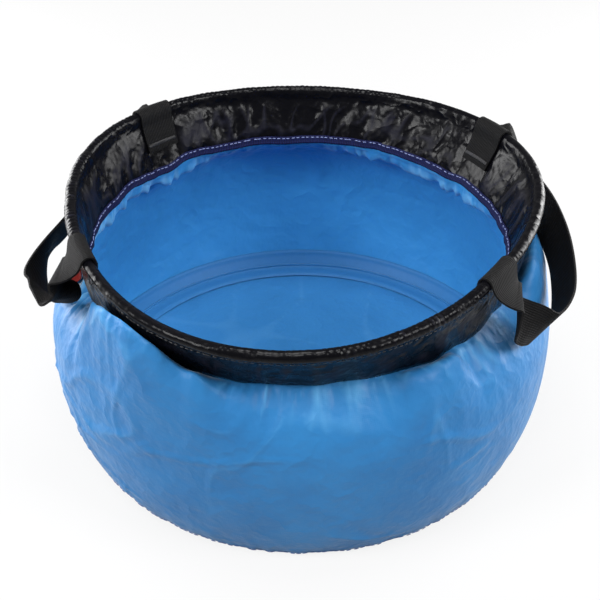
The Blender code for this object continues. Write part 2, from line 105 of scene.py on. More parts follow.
def aroundTable(angle, table):
    # smooth value round the ring from a few (degrees, value) pairs
    degrees = math.degrees(angle) % 360.0
    closed = table + [(table[0][0] + 360, table[0][1])]
    for (low, lowValue), (high, highValue) in zip(closed, closed[1:]):
        if low <= degrees <= high:
            return lowValue + (highValue - lowValue) * blendStep(degrees, low, high)
    return table[0][1]


@lru_cache(maxsize=None)
def hoopPoint(angle):
    oval = ringLines["oval"] * math.cos(2 * (angle - ringLines["ovalAngle"]))
    corner = ringLines["corner"] * math.cos(3 * (angle - ringLines["cornerAngle"]))
    height = ringLines["hoopHeight"] + ringLines["warp"] * math.cos(2 * angle)
    return (ringLines["hoopRadius"] + oval + corner) * radial(angle) + height * up


@lru_cache(maxsize=None)
def seamWave(angle):
    # the sewn edge isn't a true circle: it pulls in and out and up and down a little
    share = aroundTable(angle, ringLines["waveAround"])
    outBy = ringNoise(angle, 0.0, 0.032, 1.0, 51) + 0.5 * ringNoise(angle, 0.0, 0.014, 1.0, 52)
    upBy = ringNoise(angle, 0.0, 0.036, 1.0, 53) + 0.4 * ringNoise(angle, 0.0, 0.013, 1.0, 54)
    return share * (2.0 * ringLines["waveOut"] * outBy * radial(angle)
                    + 2.0 * ringLines["waveUp"] * upBy * up)


@lru_cache(maxsize=None)
def seamPoint(angle):
    return (ringLines["seamShift"] + ringLines["seamRadius"] * radial(angle)
            + ringLines["seamHeight"] * up + seamWave(angle))


@lru_cache(maxsize=None)
def awayFromStraps(angle):
    # 0 where webbing is sewn to the collar, 1 clear of it
    nearest = min(abs(math.remainder(angle - place, fullTurn)) for place in ringLines["strapAngles"])
    return blendStep(nearest * ringLines["hoopRadius"], 0.011, 0.019)


@lru_cache(maxsize=None)
def collarFrame(angle):
    # hoop centre, unit vector down the collar, unit vector out of it, and its height
    top = hoopPoint(angle)
    down = seamPoint(angle) - top
    height = down.length
    down.normalize()
    return top, down, around(angle).cross(-down).normalized(), height


def collarPoint(angle, drop, outBy):
    top, down, out = collarFrame(angle)[:3]
    return top + drop * down + outBy * out


def riseOver(height):
    # 0 at the widest line of the bulge, 1 at the collar seam
    return (height - ringLines["bulgeHeight"]) / (ringLines["seamHeight"] - ringLines["bulgeHeight"])


def wallRadius(height):
    bulge = ringLines["bulgeRadius"]
    if height <= ringLines["bulgeHeight"]:
        short = (1.0 - height / ringLines["bulgeHeight"]) ** ringLines["footFullness"]
        return ringLines["baseRadius"] + (bulge - ringLines["baseRadius"]) * (1.0 - short)
    short = riseOver(height) ** ringLines["shoulderFullness"]
    return ringLines["seamRadius"] + (bulge - ringLines["seamRadius"]) * (1.0 - short)


def wallPoint(angle, height):
    rise = max(0.0, riseOver(height))
    lean = rise * rise * (3.0 - 2.0 * rise)
    return (lean * ringLines["seamShift"] + wallRadius(height) * radial(angle) + height * up
            + rise ** 4 * seamWave(angle))


def wallOut(angle, height):
    run = wallPoint(angle, height + 0.0005) - wallPoint(angle, max(0.0, height - 0.0005))
    return around(angle).cross(run).normalized()


# meshes

def newRing(columns, rowLengths, shape):
    # open tube spun from one upright line; shape(angle, row) gives a vertex its point and fold value
    bm = bmesh.new()
    line = [bm.verts.new((1.0, 0.0, row)) for row in range(len(rowLengths))]
    edges = [bm.edges.new(pair) for pair in zip(line, line[1:])]
    bmesh.ops.spin(bm, geom=line + edges, axis=up, cent=(0, 0, 0), dvec=(0, 0, 0),
                   angle=fullTurn, steps=columns, use_merge=True)
    bmesh.ops.recalc_face_normals(bm, faces=bm.faces)
    layer = bm.loops.layers.uv.new("UVMap")
    # the fold value is how sharp a crest is; the coated materials paint a highlight on it
    foldLayer = bm.verts.layers.float.new("fold")
    for face in bm.faces:
        turns = [math.atan2(loop.vert.co.y, loop.vert.co.x) for loop in face.loops]
        wraps = max(turns) - min(turns) > math.pi
        for loop, turn in zip(face.loops, turns):
            if wraps and turn < 0.0:
                turn += fullTurn
            loop[layer].uv = (turn * meanRadius, rowLengths[round(loop.vert.co.z)])
    for vert in bm.verts:
        point, fold = shape(math.atan2(vert.co.y, vert.co.x), round(vert.co.z))
        vert.co = point
        vert[foldLayer] = fold
    return bm


def newStrip(length, width, alongSteps, acrossSteps):
    # flat strip from x = 0 to 1 and y = -0.5 to 0.5
    bm = bmesh.new()
    bmesh.ops.create_grid(bm, x_segments=alongSteps, y_segments=acrossSteps, size=0.5)
    bmesh.ops.translate(bm, verts=bm.verts, vec=(0.5, 0.0, 0.0))
    layer = bm.loops.layers.uv.new("UVMap")
    for face in bm.faces:
        for loop in face.loops:
            loop[layer].uv = (loop.vert.co.x * length, loop.vert.co.y * width)
    return bm


def addObject(name, data):
    item = bpy.data.objects.new(name, data)
    bpy.context.scene.collection.objects.link(item)
    return item


def finishPiece(name, bm, materials, body, replaced, thickness=0.0, offset=-1.0):
    # thickness makes a shell of an open sheet; a second material is that of its inside
    mesh = bpy.data.meshes.new(name)
    bm.to_mesh(mesh)
    bm.free()
    mesh.shade_smooth()
    for material in materials:
        mesh.materials.append(material)
    piece = addObject(name, mesh)
    if body:
        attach(piece, body)
    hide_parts(*replaced)
    if thickness:
        shell = piece.modifiers.new("Thickness", "SOLIDIFY")
        shell.thickness = thickness
        shell.offset = offset
        shell.use_even_offset = False
        shell.material_offset = len(materials) - 1
        shell.material_offset_rim = 0
    return piece


def addStitch(bm, middle, run, side, lift, radius):
    # a small rounded length of thread that lies along run
    turned = Matrix((0.5 * run, radius * side, radius * lift)).transposed().to_4x4()
    bmesh.ops.create_uvsphere(bm, u_segments=6, v_segments=6, radius=1.0,
                              matrix=Matrix.Translation(middle) @ turned
                              @ Matrix.Rotation(0.5 * math.pi, 4, "Y"))


def stitchRow(name, row, lineAt, material, body, replaced):
    # separate stitches, a little uneven in their spacing
    bm = bmesh.new()
    step = fullTurn / row["count"]
    for index in range(row["count"]):
        angle = step * (index + 0.5 * ringNoise(step * index, 0.0, 0.004, 1.0, 71))
        run = lineAt(angle + 0.5 * row["fill"] * step) - lineAt(angle - 0.5 * row["fill"] * step)
        side = run.cross(up).normalized()
        addStitch(bm, lineAt(angle), run, side, side.cross(run).normalized(), row["radius"])
    return finishPiece(name, bm, [material], body, replaced)


def roundEdges(piece, name, width):
    edge = piece.modifiers.new(name, "BEVEL")
    edge.width = width
    edge.segments = 2
    edge.limit_method = "ANGLE"
    edge.angle_limit = math.radians(50)


# materials

def toLinear(hexColour):
    values = [int(hexColour[i:i + 2], 16) / 255 for i in (1, 3, 5)]
    return [v / 12.92 if v <= 0.04045 else ((v + 0.055) / 1.055) ** 2.4 for v in values] + [1.0]


def fillNode(tree, node, values):
    # values: settings, numbers and hex colours, and outputs to link, or a node for its result
    for key, value in values.items():
        if isinstance(value, bpy.types.Node):
            value = next(output for output in value.outputs if output.enabled)
        if isinstance(value, bpy.types.NodeSocket):
            tree.links.new(value, node.inputs[key])
        elif isinstance(key, str) and hasattr(node, key):
            setattr(node, key, value)
        else:
            node.inputs[key].default_value = toLinear(value) if isinstance(value, str) else value
    return node


def addNode(tree, kind, values):
    return fillNode(tree, tree.nodes.new("ShaderNode" + kind), values)


def newMaterial(name, values):
    # a Principled material, its node tree and the Object coordinates that its patterns lie on
    material = bpy.data.materials.new(name)
    material.use_nodes = True
    tree = material.node_tree
    fillNode(tree, tree.nodes["Principled BSDF"], values)
    return material, tree, addNode(tree, "TexCoord", {}).outputs["Object"]


def linkShader(tree, values):
    fillNode(tree, tree.nodes["Principled BSDF"], values)


def bandScale(spacing):
    return fullTurn / (20.0 * spacing)   # a Wave texture's bands repeat every 2 pi / 20 scale


def weaveHeight(tree, alongSpacing, acrossSpacing, ribs="both"):
    # ribs: "both" is plain weave, "along" has cords lying along the tape, "across" over it
    uv = addNode(tree, "TexCoord", {}).outputs["UV"]
    threads = []
    for direction, spacing, faint in (("X", alongSpacing, "along"), ("Y", acrossSpacing, "across")):
        bands = addNode(tree, "TexWave", {"bands_direction": direction, "Scale": bandScale(spacing),
                                          "Vector": uv}).outputs["Fac"]
        if ribs == faint:
            bands = addNode(tree, "MapRange", {0: bands, 3: 0.6})
        threads.append(bands)
    return addNode(tree, "Math", {"operation": "MULTIPLY", 0: threads[0], 1: threads[1]}), uv


def coatedNylon(name, darkHex, midHex, lightHex, roughness):
    # plain-weave nylon with a polyurethane coat: soft satin, with a painted highlight along its fold
    # crests
    material, tree, solid = newMaterial(name, {"Roughness": roughness, "IOR": 1.26,
                                               "Sheen Weight": 0.10, "Sheen Roughness": 0.35})
    weave = weaveHeight(tree, 0.0011, 0.0011)[0]     # real threads are 0.2 mm, too fine to show
    cloudy = addNode(tree, "TexNoise", {"Vector": solid, "Scale": 1 / 0.045, "Detail": 4.0,
                                        "Roughness": 0.6})
    clouds = addNode(tree, "MapRange", {0: cloudy, 1: 0.3, 2: 0.7})
    body = addNode(tree, "Mix", {"data_type": "RGBA", 0: clouds, 6: darkHex, 7: midHex})
    # painted highlight: the sharper a fold crest, the more of the light colour it gets
    fold = addNode(tree, "Attribute", {"attribute_name": "fold"}).outputs["Fac"]
    crestHighlight = addNode(tree, "MapRange", {0: fold, 1: 0.25, 4: 0.55})
    colour = addNode(tree, "Mix", {"data_type": "RGBA", 0: crestHighlight, 6: body, 7: lightHex})
    speckle = addNode(tree, "TexNoise", {"Vector": solid, "Scale": 1 / 0.006, "Detail": 3.0})
    satin = addNode(tree, "MapRange", {0: speckle, 1: 0.3, 2: 0.7, 3: roughness - 0.06,
                                       4: roughness + 0.06})
    pressed = addNode(tree, "TexNoise", {"Vector": solid, "Scale": 1 / 0.024, "Detail": 3.0})
    ridged = addNode(tree, "Math", {"operation": "PINGPONG", 0: pressed, 1: 0.5})
    crinkle = addNode(tree, "TexNoise", {"Vector": solid, "Scale": 1 / 0.011, "Detail": 4.0,
                                         "Roughness": 0.55})
    ridges = addNode(tree, "Bump", {"Strength": 0.50, "Distance": 0.0065, "Height": ridged})
    crinkles = addNode(tree, "Bump", {"Strength": 0.45, "Distance": 0.0016, "Height": crinkle,
                                      "Normal": ridges})
    threads = addNode(tree, "Bump", {"Strength": 0.15, "Distance": 0.0002, "Height": weave,
                                     "Normal": crinkles})
    linkShader(tree, {"Base Color": colour, "Roughness": satin, "Normal": threads})
    return material


def glossyCoatedCloth(name, baseHex, crestHighlightHex, roughness):
    # polyester with a thick black polyurethane coat: wet-looking, with a painted bluish grey highlight on
    # its crests
    material, tree, solid = newMaterial(name, {"IOR": 1.19})
    # painted highlight: fold crests get the bluish grey colour
    fold = addNode(tree, "Attribute", {"attribute_name": "fold"}).outputs["Fac"]
    crestHighlight = addNode(tree, "MapRange", {0: fold, 1: 0.35, 4: 0.8})
    colour = addNode(tree, "Mix", {"data_type": "RGBA", 0: crestHighlight, 6: baseHex, 7: crestHighlightHex})
    patchy = addNode(tree, "TexNoise", {"Vector": solid, "Scale": 1 / 0.012, "Detail": 3.0})
    patches = addNode(tree, "MapRange", {0: patchy, 1: 0.3, 2: 0.7, 3: roughness - 0.05,
                                         4: roughness + 0.07})
    duller = addNode(tree, "MapRange", {0: fold, 1: 0.2, 4: 0.24})
    gloss = addNode(tree, "Math", {"operation": "ADD", 0: patches, 1: duller})
    creased = addNode(tree, "TexNoise", {"Vector": solid, "Scale": 1 / 0.013, "Roughness": 0.45})
    ridged = addNode(tree, "Math", {"operation": "PINGPONG", 0: creased, 1: 0.5})
    fine = addNode(tree, "TexNoise", {"Vector": solid, "Scale": 1 / 0.0035})
    ridges = addNode(tree, "Bump", {"Strength": 0.5, "Distance": 0.0050, "Height": ridged})
    grain = addNode(tree, "Bump", {"Strength": 0.10, "Distance": 0.0005, "Height": fine,
                                   "Normal": ridges})
    linkShader(tree, {"Base Color": colour, "Roughness": gloss, "Normal": grain})
    return material


def wovenTape(name, darkHex, lightHex, spacings, depth, ribs, sheen, roughness):
    # narrow woven tape or webbing: ribbed, dull, with a fuzzy bloom on the threads
    material, tree, _ = newMaterial(name, {"Roughness": roughness, "IOR": 1.24,
                                           "Sheen Weight": sheen, "Sheen Roughness": 0.5})
    weave, uv = weaveHeight(tree, spacings[0], spacings[1], ribs)
    fuzz = addNode(tree, "TexNoise", {"Vector": uv, "Scale": 1 / 0.0016, "Detail": 3.0,
                                      "Roughness": 0.7})
    shade = addNode(tree, "Math", {"operation": "MULTIPLY", 0: weave, 1: fuzz})
    raised = addNode(tree, "MapRange", {0: shade, 1: 0.05, 2: 0.6})
    colour = addNode(tree, "Mix", {"data_type": "RGBA", 0: raised, 6: darkHex, 7: lightHex})
    threads = addNode(tree, "Bump", {"Strength": 0.8, "Distance": depth, "Height": weave})
    bloom = addNode(tree, "Bump", {"Strength": 0.2, "Distance": 0.0003, "Height": fuzz,
                                   "Normal": threads})
    linkShader(tree, {"Base Color": colour, "Normal": bloom})
    return material


def spunThread(name, darkHex, lightHex):
    # twisted polyester sewing thread: diagonal plies, a little lustre
    material, tree, solid = newMaterial(name, {"Roughness": 0.5, "Sheen Weight": 0.2})
    plies = addNode(tree, "TexWave", {"bands_direction": "DIAGONAL", "Scale": bandScale(0.0006),
                                      "Vector": solid}).outputs["Fac"]
    colour = addNode(tree, "Mix", {"data_type": "RGBA", 0: plies, 6: darkHex, 7: lightHex})
    twist = addNode(tree, "Bump", {"Strength": 0.5, "Distance": 0.0001, "Height": plies})
    linkShader(tree, {"Base Color": colour, "Normal": twist})
    return material


def weldTape(name, filmHex, bubbleHex):
    # heat-welded seam tape: thin clear film over the nylon, smooth with faint bubbles
    material, tree, solid = newMaterial(name, {"Roughness": 0.50, "IOR": 1.26})
    bubbles = addNode(tree, "TexNoise", {"Vector": solid, "Scale": 1 / 0.003, "Detail": 3.0})
    colour = addNode(tree, "Mix", {"data_type": "RGBA", 0: bubbles, 6: filmHex, 7: bubbleHex})
    relief = addNode(tree, "Bump", {"Strength": 0.2, "Distance": 0.0003, "Height": bubbles})
    linkShader(tree, {"Base Color": colour, "Normal": relief})
    return material


def drawnRod(name, baseHex, markHex, roughness, metallic, grain):
    # hoop rod and spigot: drawn stock, smooth with fine marks
    material, tree, solid = newMaterial(name, {"Metallic": metallic})
    marks = addNode(tree, "TexNoise", {"Vector": solid, "Scale": 1 / grain, "Detail": 4.0})
    colour = addNode(tree, "Mix", {"data_type": "RGBA", 0: marks, 6: baseHex, 7: markHex})
    polish = addNode(tree, "MapRange", {0: marks, 1: 0.2, 2: 0.8, 3: roughness - 0.06,
                                        4: roughness + 0.06})
    linkShader(tree, {"Base Color": colour, "Roughness": polish})
    return material


# one nylon in three shades: the inside of the wall and the base are painted lighter than the outside,
# painted light for the light inside the basin; the third colour of each is its painted crest highlight
wallOutside = coatedNylon("coated nylon outside", "#246297", "#2A6EA4", "#5E9FCB", 0.44)
wallInsidePaintedLighter = coatedNylon("coated nylon inside, painted lighter", "#337FBA", "#3989C6", "#7AB4DC", 0.42)
baseNylonPaintedLighter = coatedNylon("coated nylon of the base, painted lighter", "#2F70A5", "#3478AF", "#5B98C6", 0.42)
collarCoated = glossyCoatedCloth("black coated polyester", "#060609", "#15151F", 0.24)
navyBinding = wovenTape("navy grosgrain binding", "#070A26", "#121A4E", (0.0014, 0.0020), 0.0003,
                        "across", 0.0, 0.75)
blackWebbing = wovenTape("black polypropylene webbing", "#040405", "#0F0E0F", (0.0024, 0.0013),
                         0.0004, "along", 0.0, 0.8)
redLabelCloth = wovenTape("red woven label", "#5E0F0B", "#8E2018", (0.0008, 0.0008), 0.0001, "both",
                          0.1, 0.65)
paleThread = spunThread("pale polyester thread", "#4A5580", "#7C88B4")
blackThread = spunThread("black polyester thread", "#08080A", "#232328")
blueThread = spunThread("blue polyester thread", "#0B2A60", "#1C4E98")
seamFilm = weldTape("clear seam tape", "#2D6DA3", "#3375AD")
hoopPlastic = drawnRod("black acetal rod", "#161618", "#2B2B2E", 0.38, 0.0, 0.002)
spigotSteel = drawnRod("spring steel", "#8E9094", "#B9BABC", 0.3, 1.0, 0.001)
print("materials made")


# camera, floor and light

view = {"focalLength": 66.68, "sensor": 36.0, "elevation": math.radians(36.821),
        "target": Vector((-0.00115, 0.0, 0.074)), "distance": 0.700}

cameraData = bpy.data.cameras.new("camera")
cameraData.lens = view["focalLength"]
cameraData.sensor_width = view["sensor"]
cameraData.clip_start = 0.01
camera = addObject("camera", cameraData)
camera.location = view["target"] + view["distance"] * Vector(
    (0.0, -math.cos(view["elevation"]), math.sin(view["elevation"])))
camera.rotation_euler = (0.5 * math.pi - view["elevation"], 0.0, 0.0)
bpy.context.scene.camera = camera

studio = {
    "floorSize": 12.0, "floorHex": "#AFAFAF", "floorGlow": 0.84, "ambient": 0.26,
    "lights": [   # name, place, size, power
        ("leftSoftbox", (-0.80, -0.50, 0.80), 0.40, 12.0),
        ("rightSoftbox", (0.80, -0.45, 0.80), 0.40, 10.5),
        ("topSoftbox", (0.0, 0.05, 1.25), 0.35, 7.0),
        ("frontSoftbox", (-0.05, -0.50, 1.20), 0.30, 5.0),
        ("leftCard", (-0.70, 0.40, 0.22), 0.60, 12.5),
        ("rightCard", (0.70, 0.40, 0.22), 0.60, 10.5),
    ],
}


def makeStudio():
    bm = bmesh.new()
    bmesh.ops.create_grid(bm, x_segments=1, y_segments=1, size=0.5 * studio["floorSize"])
    mesh = bpy.data.meshes.new("floor")
    bm.to_mesh(mesh)
    bm.free()
    material, tree, _ = newMaterial("pale floor", {"Roughness": 0.9, "Specular IOR Level": 0.1,
                                                   "Base Color": studio["floorHex"]})
    path = addNode(tree, "LightPath", {})
    seen = addNode(tree, "Math", {"operation": "MULTIPLY", 0: path.outputs["Is Camera Ray"],
                                  1: studio["floorGlow"]})
    glow = addNode(tree, "Emission", {"Color": "#FFFFFF", "Strength": 1.0})
    mixed = addNode(tree, "MixShader", {0: seen, 1: tree.nodes["Principled BSDF"], 2: glow})
    fillNode(tree, tree.nodes["Material Output"], {"Surface": mixed})
    mesh.materials.append(material)
    addObject("floor", mesh)
    for name, place, size, power in studio["lights"]:
        lamp = bpy.data.lights.new(name, "AREA")
        lamp.size = size
        lamp.energy = power
        item = addObject(name, lamp)
        item.location = place
        item.rotation_euler = (Vector(place) - view["target"]).to_track_quat("Z", "Y").to_euler()
    world = bpy.data.worlds.new("studio")
    bpy.context.scene.world = world
    world.use_nodes = True
    tree = world.node_tree
    path = addNode(tree, "LightPath", {})
    straight = addNode(tree, "Math", {"operation": "MAXIMUM", 0: path.outputs["Is Camera Ray"],
                                      1: path.outputs["Is Transmission Ray"]})
    strength = addNode(tree, "MapRange", {0: straight, 3: studio["ambient"]})
    fillNode(tree, tree.nodes["Background"], {"Color": "#FFFFFF", "Strength": strength})


makeStudio()
bpy.context.scene.view_settings.view_transform = "Standard"
print("studio made")


# collar: one strip folded over the hoop, shirred on the casing, crumpled inside

collarCloth = {
    "columns": 1280, "thickness": 0.0005, "outerRows": 9, "casingRows": 11,
    "innerRows": 16, "half": 0.0015, "casingRadius": 0.0034, "casingDrop": 0.0042, "hemGap": 0.0008,
    "outerCrumple": 0.0015, "innerCrumple": 0.0026, "hemPucker": 0.0005,
    "shirr": 0.00065, "puckers": 270,
    "shirrAround": [(0, 0.05), (30, 0.05), (50, 0.4), (75, 0.8), (100, 0.9), (150, 1.0), (200, 1.0),
                    (212, 0.15), (240, 0.1), (262, 0.4), (285, 0.8), (318, 0.9), (332, 0.15)],
    "flatAround": [(0, 0.0), (195, 0.0), (212, 1.0), (240, 1.0), (262, 0.0)],
}


def crumple(angle, drop, seed):
    # 0 to 1: pressed-together cloth, big leaning facets that meet in sharp crests and valleys
    drift = angle + 0.050 * ringNoise(angle, drop, 0.024, 0.024, seed)
    leaning = ringNoise(angle, 0.0, 0.060, 1.0, seed + 5)
    slanted = crest(ringNoise(drift + 6.0 * leaning * drop, drop, 0.021, 0.034, seed + 1), 2.0)
    crossed = crest(ringNoise(drift - 3.0 * drop, drop, 0.014, 0.026, seed + 2), 2.2)
    broad = 0.5 + ringNoise(angle, drop, 0.035, 0.030, seed + 4)
    return 0.48 * slanted + 0.26 * crossed + 0.30 * broad, max(slanted, crossed) ** 4


def shareDown(angle, drop):
    bottom = collarFrame(angle)[3] - collarCloth["hemGap"]
    return min(1.0, max(0.0, (drop - collarCloth["casingDrop"]) / (bottom - collarCloth["casingDrop"])))


def outerStand(angle, drop):
    # how far the outer layer stands out of the collar's middle surface
    t = shareDown(angle, drop)
    lift, sharp = crumple(angle, drop, 60)
    window = math.sin(math.pi * t) ** 0.6 + 0.18 * t
    return collarCloth["half"] + window * collarCloth["outerCrumple"] * lift, sharp * window


def innerSmooth(drop):
    # the inner layer without its folds: down off the hoop, with a faint line at the stitching
    away = 1.0 - blendStep(drop, 0.0, 0.0100)
    line = 0.0004 * near(drop - 0.0052, 0.0012)
    return collarCloth["half"] + (collarCloth["casingRadius"] - collarCloth["half"]) * away - line


def innerStand(angle, drop):
    t = shareDown(angle, drop)
    lift, sharp = crumple(angle, drop, 80)
    window = blendStep(t, 0.0, 0.25) * (1.0 - 0.75 * blendStep(t, 0.72, 0.98)) * awayFromStraps(angle)
    pucker = collarCloth["hemPucker"] * blendStep(t, 0.6, 1.0) * (
        crest(ringNoise(angle, drop, 0.0055, 0.05, 90), 2.2))
    return innerSmooth(drop) + window * collarCloth["innerCrumple"] * lift + pucker, sharp * window


def shirred(angle, turn):
    # extra radius of the casing: close puckers that wind a little round the hoop
    strength = aroundTable(angle, collarCloth["shirrAround"]) * (0.25 + 0.75 * awayFromStraps(angle))
    uneven = 2.2 * ringNoise(angle, turn, 0.010, 3.0, 94)
    wave = math.sin(0.5 * collarCloth["puckers"] * angle + 0.9 * turn + uneven)
    height = 0.7 + 0.6 * ringNoise(angle, turn, 0.006, 2.0, 95)
    ridge = abs(wave) ** 0.8 * height
    lump = ringNoise(angle, turn, 0.016, 3.0, 97)
    flat = aroundTable(angle, collarCloth["flatAround"]) * abs(math.cos(turn - 0.25 * math.pi)) ** 3
    # the second value is the fold value, which gets the painted highlight: pucker crests and the
    # flattened front left stretch
    return (collarCloth["shirr"] * (strength * ridge + 0.5 * lump) - 0.0008 * flat,
            strength * ridge ** 2 + 0.6 * flat)


def makeCollar():
    outerRows = collarCloth["outerRows"]
    casingRows = collarCloth["casingRows"]
    innerRows = collarCloth["innerRows"]
    height = collarFrame(0.0)[3]
    skirt = height - collarCloth["casingDrop"]
    arc = collarCloth["casingRadius"] * fullTurn * 0.68     # the casing's way round the hoop
    lengths = [skirt * row / outerRows for row in range(outerRows)]
    lengths += [skirt + arc * row / casingRows for row in range(casingRows)]
    lengths += [skirt + arc + skirt * row / innerRows for row in range(innerRows)]

    def shape(angle, row):
        top, down, out, height = collarFrame(angle)
        bottom = height - collarCloth["hemGap"]
        if row < outerRows:
            t = row / outerRows
            drop = bottom + (collarCloth["casingDrop"] - bottom) * t
            stand, sharp = outerStand(angle, drop)
            return top + drop * down + stand * out, sharp
        if row < outerRows + casingRows:
            openAngle = math.asin(collarCloth["half"] / collarCloth["casingRadius"])
            turn = openAngle + (1.5 * math.pi - openAngle) * (row - outerRows + 0.5) / casingRows
            more, sharp = shirred(angle, turn)
            fade = math.sin(min(math.pi, turn) / 1.5) ** 0.5 * (1.0 - 0.7 * blendStep(turn, 3.6, 4.7))
            radius = collarCloth["casingRadius"] + more * fade
            return top + radius * (math.cos(turn) * down + math.sin(turn) * out), sharp * fade
        drop = bottom * (row - outerRows - casingRows) / (innerRows - 1)
        stand, sharp = innerStand(angle, drop)
        return top + drop * down - stand * out, sharp

    bm = newRing(collarCloth["columns"], lengths, shape)
    return finishPiece("collarCloth", bm, [collarCoated], "rim", ["collar"],
                       collarCloth["thickness"])


collar = makeCollar()
print("collar made")


# wall: coated nylon gathered into the collar and the base seam

wallCloth = {
    "columns": 600, "rows": 76, "thickness": 0.0007, "foot": 0.0006,
    "tuck": 0.0070, "tuckRows": 3, "slant": 1.25,     # length of cloth for a length of height
    "gatherFine": 0.0016, "gatherMiddle": 0.0016, "gatherBroad": 0.0016,
    "footFine": 0.0002, "footMiddle": 0.0009, "crease": 0.0013, "swell": 0.0010,
    "gatherAround": [(0, 0.7), (60, 0.8), (120, 0.9), (180, 1.0), (225, 1.4), (255, 0.8),
                     (280, 0.6), (308, 1.1), (320, 0.8), (330, 0.3), (345, 0.3)],
    "creaseAround": [(0, 0.7), (20, 0.4), (40, 0.2), (140, 0.2), (165, 0.6), (185, 1.0), (310, 1.0),
                     (322, 0.1), (346, 0.1)],
    # front left and right the slack wall folds up over the collar's lower part
    "rollUp": 0.030, "rollDepth": 0.012, "rollFade": 0.020, "rollStand": 0.0014, "rollOpen": 0.0030,
    "rollAround": [(0, 0.55), (12, 0.3), (22, 0.0), (211, 0.0), (219, 0.9), (227, 1.0), (239, 1.0),
                   (247, 0.6), (256, 0.2), (264, 0.0), (288, 0.0), (298, 0.35), (306, 0.4), (312, 0.0),
                   (334, 0.0), (344, 0.5)],
    # back left and right it hangs in wrinkled slack under the hem
    "slackIn": 0.0095,
    "slackAround": [(0, 0.1), (35, 0.9), (60, 0.8), (85, 0.15), (110, 0.2), (128, 0.9), (160, 1.0),
                    (188, 0.7), (205, 0.0)],
}


def wallRoll(angle, below):
    # slack cloth just under the seam: it lies up the outside of the collar and turns down again
    share = aroundTable(angle, wallCloth["rollAround"])
    if share == 0.0:
        return Vector((0.0, 0.0, 0.0))
    height = collarFrame(angle)[3]
    reach = min(1.0, below / wallCloth["rollDepth"])
    rise = math.sin(0.5 * math.pi * reach) * wallCloth["rollUp"]
    rise *= 1.0 + 0.22 * ringNoise(angle, 0.0, 0.020, 1.0, 57)
    drop = height - rise
    outBy = (outerStand(angle, drop)[0] + wallCloth["rollStand"]
             + wallCloth["rollOpen"] * reach * reach)
    lifted = collarPoint(angle, drop, outBy)
    fallen = min(below, wallCloth["rollDepth"]) / wallCloth["slant"]
    rest = wallPoint(angle, ringLines["seamHeight"] - fallen)
    past = max(0.0, below - wallCloth["rollDepth"])
    return share * near(past, wallCloth["rollFade"]) * (lifted - rest)


def wallFold(angle, height):
    # how far the wall stands out of its smooth shape, and how sharp the crest is there
    below = max(0.0, ringLines["seamHeight"] - height) * wallCloth["slant"]
    drift = angle + 0.022 * ringNoise(angle, height, 0.040, 0.030, 1)
    gathered = aroundTable(angle, wallCloth["gatherAround"])
    fine = crest(ringNoise(drift, height, 0.0056, 0.024, 3), 2.6)
    middle = crest(ringNoise(drift, height, 0.0120, 0.045, 7), 2.4)
    broad = ringNoise(drift, height, 0.028, 0.070, 13)
    leave = blendStep(below, 0.0, 0.004)
    top = gathered * leave * (
        wallCloth["gatherFine"] * fine * near(below, 0.011)
        + wallCloth["gatherMiddle"] * middle * near(below, 0.026)
        + wallCloth["gatherBroad"] * broad * near(below, 0.045))
    hump = near(below - 0.0070, 0.0060) * leave
    slack = aroundTable(angle, wallCloth["slackAround"])
    leaning = ringNoise(angle, 0.0, 0.040, 1.0, 58)
    wrinkle = crest(ringNoise(drift + 12.0 * leaning * below, height, 0.013, 0.020, 59), 2.3)
    top -= hump * wallCloth["slackIn"] * slack * (0.62 + 0.38 * wrinkle)
    rise = blendStep(height, 0.0, 0.003)
    puckers = crest(ringNoise(angle, height, 0.0050, 0.012, 21), 2.4)
    tucks = crest(ringNoise(drift, height, 0.0140, 0.026, 23), 2.4)
    foot = rise * (wallCloth["footFine"] * puckers * near(height, 0.007)
                   + wallCloth["footMiddle"] * tucks * near(height, 0.018))
    free = blendStep(height, 0.004, 0.020) * blendStep(below, 0.004, 0.020)
    bent = angle + 0.16 * ringNoise(angle, height, 0.080, 0.050, 27)
    longCrease = crest(ringNoise(bent, height, 0.060, 0.020, 31), 9.0)
    steepCrease = crest(ringNoise(bent, height, 0.024, 0.055, 35), 9.0)
    patch = blendStep(ringNoise(angle, height, 0.060, 0.050, 39), -0.15, 0.25)
    free *= aroundTable(angle, wallCloth["creaseAround"])
    creases = wallCloth["crease"] * patch * free * (longCrease + 0.7 * steepCrease)
    swell = wallCloth["swell"] * free * ringNoise(angle, height, 0.055, 0.045, 43)
    # sharp becomes the fold value, which gets the painted highlight: gathered crests, slack wrinkles,
    # foot puckers and creases
    sharp = (0.8 * gathered * leave * fine ** 2 * near(below, 0.012)
             + 0.7 * slack * hump * wrinkle
             + 0.6 * middle ** 2 * near(below, 0.022)
             + 0.8 * rise * puckers ** 2 * near(height, 0.008)
             + 0.4 * patch * free * max(longCrease, steepCrease))
    return top + foot + creases + swell, min(1.0, sharp)


def wallRows():
    # heights of the wall's rows, closer together near both seams
    rise = ringLines["seamHeight"] - wallCloth["foot"]
    shares = [row / (wallCloth["rows"] - 1) for row in range(wallCloth["rows"])]
    return [wallCloth["foot"] + rise * (t - 0.10 * math.sin(fullTurn * t) / math.pi) for t in shares]


